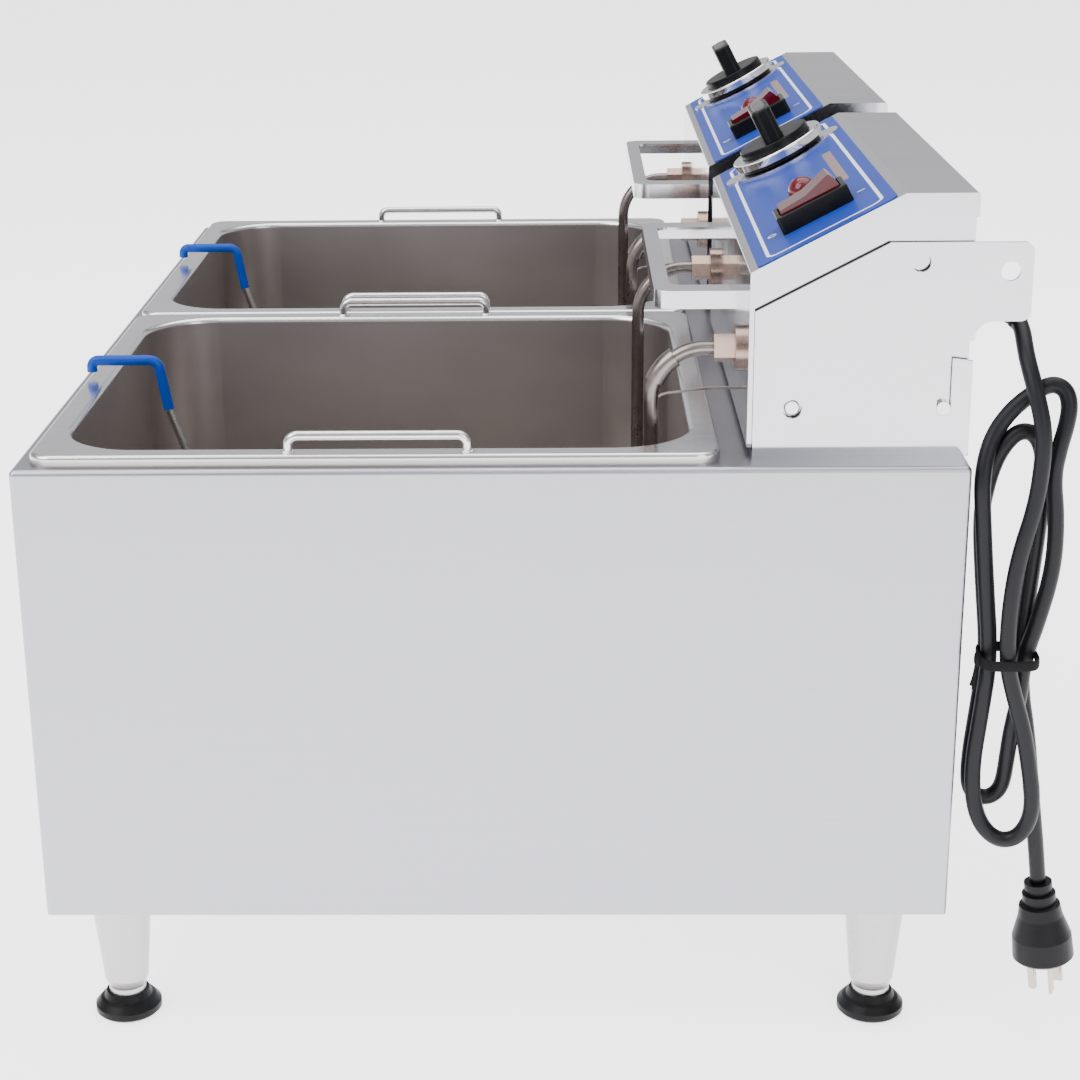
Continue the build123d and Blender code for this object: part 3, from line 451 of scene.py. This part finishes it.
def piece(name, grids, material, wrap_rows=False):
    """Mesh of closed shells: each grid's columns are rings, and its end rings are capped unless they join."""
    points, faces, start = [], [], 0
    for grid in grids:
        rows, columns = grid.shape[:2]
        faces += grid_faces(rows, columns, wrap_rows, start).tolist()
        if not wrap_rows:
            faces.append(list(range(start, start + columns)))
            last = start + (rows - 1) * columns
            faces.append(list(range(last + columns - 1, last - 1, -1)))
        points.append(grid.reshape(-1, 3))
        start += rows * columns
    mesh = bpy.data.meshes.new(name)
    mesh.from_pydata(np.concatenate(points).tolist(), [], faces)
    mesh.update()
    point_outwards(mesh)
    mesh.materials.append(material)
    made = bpy.data.objects.new(name, mesh)
    bpy.context.scene.collection.objects.link(made)
    return made


def point_outwards(mesh):
    """Turns every face of the closed shells outwards and shades them smooth."""
    work = bmesh.new()
    work.from_mesh(mesh)
    bmesh.ops.recalc_face_normals(work, faces=work.faces)
    work.to_mesh(mesh)
    work.free()
    mesh.polygons.foreach_set("use_smooth", np.ones(len(mesh.polygons), bool))
    mesh.update()


def unit(vectors):
    """Each vector divided by its own length."""
    return vectors / np.linalg.norm(vectors, axis=-1, keepdims=True)


def tube(line, radii, sides=CORD_SIDES):
    """Ring at each point of a line, square to it; each ring's frame is the last one turned the least."""
    tangent = unit(np.gradient(line, axis=0))
    side = np.empty_like(line)
    hint = np.cross(tangent[0], (0.3, 0.2, 0.9))
    for i, ahead in enumerate(tangent):
        hint = unit(hint - ahead * (hint @ ahead))
        side[i] = hint
    other = np.cross(tangent, side)
    turn = np.linspace(0, 2 * np.pi, sides, endpoint=False)
    ring = side[:, None] * np.cos(turn)[:, None] + other[:, None] * np.sin(turn)[:, None]
    return line[:, None] + np.broadcast_to(radii, len(line))[:, None, None] * ring


def power(wave, exponent):
    """Signed power of a cosine or sine, which squares up a circle."""
    return np.sign(wave) * np.abs(wave) ** exponent


def on_panel(middle_x, across, up, out):
    """Points from distances across, up and out of the sloping panel."""
    base = np.array((middle_x, PANEL_MIDDLE.y, PANEL_MIDDLE.z))
    return base + across[..., None] * np.array((1.0, 0, 0)) + up[..., None] * UP_SLOPE + out[..., None] * OUT_OF_SLOPE


# ---------------------------------------------------------------- camera, cord and what is on it
def make_camera():
    """Camera on the cord's side, looking along -X and down."""
    ahead = Vector((-math.cos(CAMERA_YAW), math.sin(CAMERA_YAW), 0))
    right = Vector((math.sin(CAMERA_YAW), math.cos(CAMERA_YAW), 0))
    up = Vector((0, 0, 1))
    look = ahead * math.cos(CAMERA_PITCH) - up * math.sin(CAMERA_PITCH)
    crown = up * math.cos(CAMERA_PITCH) + ahead * math.sin(CAMERA_PITCH)
    across = right * math.cos(CAMERA_ROLL) + crown * math.sin(CAMERA_ROLL)
    crown = crown * math.cos(CAMERA_ROLL) - right * math.sin(CAMERA_ROLL)
    data = bpy.data.cameras.new("camera")
    data.sensor_width = 36.0
    data.lens = CAMERA_LENS
    data.shift_x, data.shift_y = CAMERA_SHIFT
    camera = bpy.data.objects.new("camera", data)
    turn = Matrix((across, crown, -look)).transposed().to_4x4()
    camera.matrix_world = Matrix.Translation(CAMERA_PLACE) @ turn
    bpy.context.scene.collection.objects.link(camera)
    bpy.context.scene.camera = camera


def cord_line():
    """Points along the smooth line that has the chosen points as its control points."""
    data = bpy.data.curves.new("cord_line", "CURVE")
    data.dimensions = "3D"
    data.resolution_u = CORD_STEPS
    spline = data.splines.new("NURBS")
    spline.points.add(len(CORD_POINTS) - 1)
    control = np.ones((len(CORD_POINTS), 4))
    control[:, :3] = np.array(CORD_POINTS) * MM
    spline.points.foreach_set("co", control.ravel())
    spline.order_u = 3
    spline.use_endpoint_u = True
    guide = bpy.data.objects.new("cord_line", data)
    bpy.context.scene.collection.objects.link(guide)
    mesh = bpy.data.meshes.new_from_object(guide)
    line = np.empty(len(mesh.vertices) * 3)
    mesh.vertices.foreach_get("co", line)
    bpy.data.objects.remove(guide)
    line = line.reshape(-1, 3)
    apart = np.linalg.norm(np.diff(line, axis=0), axis=1) > 1e-6
    return line[np.concatenate(((True,), apart))]


def strain_relief(line, along, material):
    """Tapered boot over the cord's first stretch, its radius rippled by ribs that fade towards its end."""
    part = line[along <= BOOT_L]
    share = along[along <= BOOT_L] / BOOT_L
    ribs = np.clip(np.sin(share * 2 * np.pi * BOOT_RIBS), 0, 1) * BOOT_RIB * (1 - 0.5 * share)
    radii = BOOT_R - BOOT_TAPER * share + ribs
    return piece("strain_relief", [tube(part, radii, 28)], material)


def tie_band(material):
    """Band round the hank: a squared circle carried round by a flat oval section; its knot and two ends are made in
    tie_knot.
    """
    turn = np.linspace(0, 2 * np.pi, 64, endpoint=False)[:, None]
    section = np.linspace(0, 2 * np.pi, 16, endpoint=False)[None, :]
    swell = TIE_SWELL * np.cos(section)
    band = np.stack(np.broadcast_arrays(
        TIE_MIDDLE[0] + (TIE_HALF[0] + swell) * power(np.cos(turn), 0.5),
        TIE_MIDDLE[1] + (TIE_HALF[1] + swell) * power(np.sin(turn), 0.5),
        TIE_MIDDLE[2] + TIE_HALF[2] * power(np.sin(section), 0.6),
    ), -1)
    return piece("cord_tie_band", [band], material, wrap_rows=True)


def tie_knot(material):
    """Knot of the band: a squared ball, and two short ends that hang from it."""
    rise = np.linspace(-np.pi / 2 + 0.08, np.pi / 2 - 0.08, 14)[:, None]
    turn = np.linspace(0, 2 * np.pi, 24, endpoint=False)[None, :]
    ball = np.stack(np.broadcast_arrays(
        KNOT_MIDDLE[0] + KNOT_HALF[0] * power(np.cos(rise), 0.7) * np.cos(turn),
        KNOT_MIDDLE[1] + KNOT_HALF[1] * power(np.cos(rise), 0.7) * np.sin(turn),
        KNOT_MIDDLE[2] + KNOT_HALF[2] * power(np.sin(rise), 0.8),
    ), -1)
    grids = [ball]
    for lean in (-0.0035, 0.0025):
        share = np.linspace(0, 1, 12)
        end = np.stack((0.330 + lean * share, 0.2380 - 0.0015 * share ** 2, 0.2225 - 0.014 * share), -1)
        grids.append(tube(end, 0.0009, 10))
    return piece("cord_tie_knot", grids, material)


def make_cord(jacket, rubber, band):
    """The whole free cord in one tube, with its strain relief and its tie."""
    line = cord_line()
    along = np.concatenate(((0.0,), np.cumsum(np.linalg.norm(np.diff(line, axis=0), axis=1))))
    print("cord length", round(along[-1], 4))
    cord = piece("mains_cord", [tube(line, CORD_D / 2)], jacket)
    boot = strain_relief(line, along, rubber)
    tie, knot = tie_band(band), tie_knot(band)
    for bent in (cord, boot):
        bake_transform(bent)
    for held in (tie, knot):
        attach(held, "root")
    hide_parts("cord_lead", "cord_hank", "cord_tail")
    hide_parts("cord_tie")


# ---------------------------------------------------------------- small pieces
def weld_beads(side, pot_x, material):
    """Bead round each foot of a pot's two bails: a ring whose section swells in seven lumps."""
    turn = np.linspace(0, 2 * np.pi, 42, endpoint=False)[:, None]
    section = np.linspace(0, 2 * np.pi, 12, endpoint=False)[None, :]
    radius = 0.00095 * (1 + 0.16 * np.sin(7 * turn))
    out = 0.0027 + radius * np.cos(section)
    rise = np.broadcast_to(0.8 * radius * np.sin(section), out.shape)
    bead = np.stack((out * np.cos(turn), out * np.sin(turn), rise), -1)
    places = [(pot_x + x, BAIL_MIDDLE_Y + y, POT_TOP)
              for x in (-BAIL_X, BAIL_X) for y in (-BAIL_HALF, BAIL_HALF)]
    beads = [bead + np.array(place) for place in places]
    made = piece(f"{side}_weld_beads", beads, material, wrap_rows=True)
    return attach(made, "root")


def knob_cap(side, head_x, material):
    """Insert on top of a knob's grip: a squared oval that rises to a flat crown."""
    share = np.linspace(0.02, 1, 14)[:, None]
    turn = np.linspace(0, 2 * np.pi, 56, endpoint=False)[None, :]
    across = 0.0040 * share * power(np.cos(turn), 0.6)
    up = 0.0168 * share * power(np.sin(turn), 0.6)
    out = KNOB_TOP - 0.0002 + 0.0009 * (1 - share ** 6) + 0 * turn
    made = piece(f"{side}_knob_cap", [on_panel(head_x + KNOB_X, up, across, out)], material)
    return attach(made, f"{side}_knob_body")


# ---------------------------------------------------------------- stage and light
FLOOR_GLOW = 2.2              # lit from within, as a studio's light table is


def make_floor():
    """Round floor, flat and far wider than the view."""
    turn = np.linspace(0, 2 * np.pi, 96, endpoint=False)
    rim = np.stack((14 * np.cos(turn), 14 * np.sin(turn), np.full_like(turn, -0.0004)), -1)
    g = Graph("pale_floor")
    paper = g.noise((2.0, 2.0, 2.0), 1.0)
    mesh = bpy.data.meshes.new("floor")
    mesh.from_pydata(rim.tolist(), [], [list(range(len(rim)))])
    shade = g.mix(paper, (0.90, 0.90, 0.91), (0.93, 0.93, 0.94))
    glow = {"Emission_Color": (1.0, 1.0, 1.0, 1.0), "Emission_Strength": FLOOR_GLOW}
    mesh.materials.append(g.done(Base_Color=shade, Roughness=0.7, **glow))
    floor = bpy.data.objects.new("floor", mesh)
    bpy.context.scene.collection.objects.link(floor)


def make_light(name, place, size, power_w):
    """Square soft light that looks at the fryer's middle."""
    data = bpy.data.lights.new(name, "AREA")
    data.size = size
    data.energy = power_w
    light = bpy.data.objects.new(name, data)
    light.location = place
    light.rotation_euler = (Vector((0, 0, 0.25)) - Vector(place)).to_track_quat("-Z", "Y").to_euler()
    bpy.context.scene.collection.objects.link(light)


def make_world():
    """Studio sky: bright overhead and at the floor line, greyer between, which shades the steel."""
    world = bpy.data.worlds.new("studio")
    world.use_nodes = True
    bpy.context.scene.world = world
    tree = world.node_tree
    point = tree.nodes.new("ShaderNodeTexCoord")
    split = tree.nodes.new("ShaderNodeSeparateXYZ")
    ramp = tree.nodes.new("ShaderNodeValToRGB")
    stops = ((0.0, 0.90), (0.12, 0.55), (0.26, 0.80), (0.46, 0.10), (0.60, 0.65), (1.0, 0.95))
    for i, (at, level) in enumerate(stops):
        stop = ramp.color_ramp.elements[i] if i < 2 else ramp.color_ramp.elements.new(at)
        stop.position = at
        stop.color = (level, level, level * 1.02, 1)
    tree.links.new(point.outputs["Generated"], split.inputs[0])
    tree.links.new(split.outputs["Z"], ramp.inputs[0])
    tree.links.new(ramp.outputs[0], tree.nodes["Background"].inputs["Color"])
    tree.nodes["Background"].inputs["Strength"].default_value = 1.15


# ---------------------------------------------------------------- everything together
make_camera()
JACKET = cord_jacket()
PLUG_RUBBER = moulded("plug_rubber_grain", (0.004, 0.004, 0.005), 0.38, 0.00004)
BAND = moulded("tie_cloth", (0.003, 0.003, 0.0035), 0.75, 0.0003)
make_cord(JACKET, PLUG_RUBBER, BAND)

BRIGHT = plain_metal("bright_wire", (0.78, 0.77, 0.77), 0.14, 0.10)
FINISHES = {
    "brushed_casing": brushed("casing_brushed", (0.44, 0.44, 0.485), 0.36, 0.00003),
    "polished_steel": polished("sheet_polished", (0.60, 0.60, 0.63), 0.07),
    "pot_satin": pot_steel(),
    "satin_steel": brushed("leg_satin", (0.50, 0.48, 0.47), 0.28, 0.00004),
    "bright_steel": BRIGHT,
    "heater_tube": plain_metal("heater_sheath", (0.27, 0.235, 0.22), 0.22, 0.25),
    "fitting_brass": plain_metal("washed_brass", (0.42, 0.30, 0.245), 0.20, 0.18),
    "brass_pins": plain_metal("plug_pins", (0.50, 0.44, 0.36), 0.16, 0.12),
    "grip_blue": moulded("grip_sleeve", (0.0, 0.045, 0.34), 0.34, 0.00003, 0.1),
    "knob_black": moulded("knob_plastic", (0.003, 0.003, 0.0035), 0.30, 0.00003),
    "black_plastic": moulded("gland_plastic", (0.003, 0.003, 0.0035), 0.26, 0.00003),
    "rocker_red": moulded("rocker_plastic", (0.085, 0.002, 0.008), 0.10, 0.00001, 0.5),
    "lens_red": moulded("pilot_lens", (0.11, 0.003, 0.009), 0.08, 0.00001, 0.5),
    "terminal_white": moulded("terminal_plastic", (0.78, 0.76, 0.70), 0.45, 0.00004),
    "foot_rubber": moulded("pad_rubber", (0.003, 0.003, 0.0035), 0.40, 0.00006),
    "cord_rubber": JACKET,
    "tie_black": BAND,
    "plug_rubber": PLUG_RUBBER,
}
CAP_GREY = moulded("knob_insert", (0.10, 0.10, 0.105), 0.34, 0.00003)
for side_name, middle_x in HEADS:
    FINISHES[f"{side_name}_control_label"] = label_print(middle_x)
    FINISHES[f"{side_name}_dial_ring"] = chrome_ring(middle_x)
    weld_beads(side_name, math.copysign(POT_MIDDLE_X, middle_x), BRIGHT)
    knob_cap(side_name, middle_x, CAP_GREY)

for row in frame["record"]["subparts"]:
    node = frame["nodes"][row["node"]]
    material = FINISHES.get(row["node"]) or FINISHES[row["material_slot"]]
    if not node.material_slots:
        node.data.materials.append(material)
    for place in node.material_slots:
        place.material = material

make_floor()
make_world()
make_light("key", (1.3, -1.7, 2.3), 2.0, 70)
make_light("fill", (2.6, 1.2, 1.5), 1.6, 26)
make_light("top", (-0.4, 0.1, 2.7), 2.6, 60)
